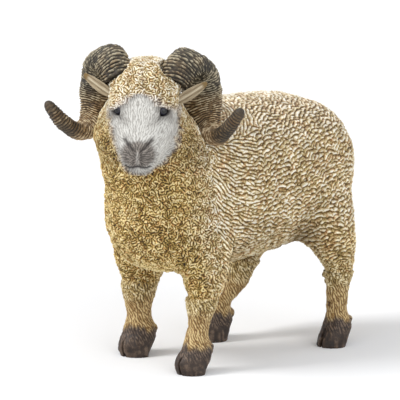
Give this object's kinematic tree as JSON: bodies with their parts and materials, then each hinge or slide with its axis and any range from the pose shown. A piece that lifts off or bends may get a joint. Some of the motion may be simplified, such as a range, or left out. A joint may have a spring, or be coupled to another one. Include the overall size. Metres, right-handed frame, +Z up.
{
  "type": "toy farm animal figure",
  "caption": "Free-standing woolly ram figure with ringed curled horns and its head turned to its left, moulded as plug-together parts and standing on cloven hooves.",
  "frame": {"origin": "middle of the figure's box, on the surface that it stands on", "axes": "+Z up, the nose towards -Y, the animal's own left side towards +X"},
  "size_m": [0.044, 0.091, 0.0873],
  "materials": {
    "wool": "cream wool relief with a brown wash in the creases, matt",
    "face": "white painted face with a grey muzzle, matt",
    "horn": "dark brown with tan dry-brushed rings, matt",
    "ear": "beige, matt",
    "leg": "golden tan hair with dark brown hooves, matt"
  },
  "bodies": {
    "root": {"body_left_shell": "wool", "body_right_shell": "wool", "tail": "wool", "head": "face", "left_horn": "horn", "right_horn": "horn", "left_ear": "ear", "right_ear": "ear", "front_left_leg": "leg", "front_right_leg": "leg", "rear_left_leg": "leg", "rear_right_leg": "leg"}
  },
  "joints": []
}
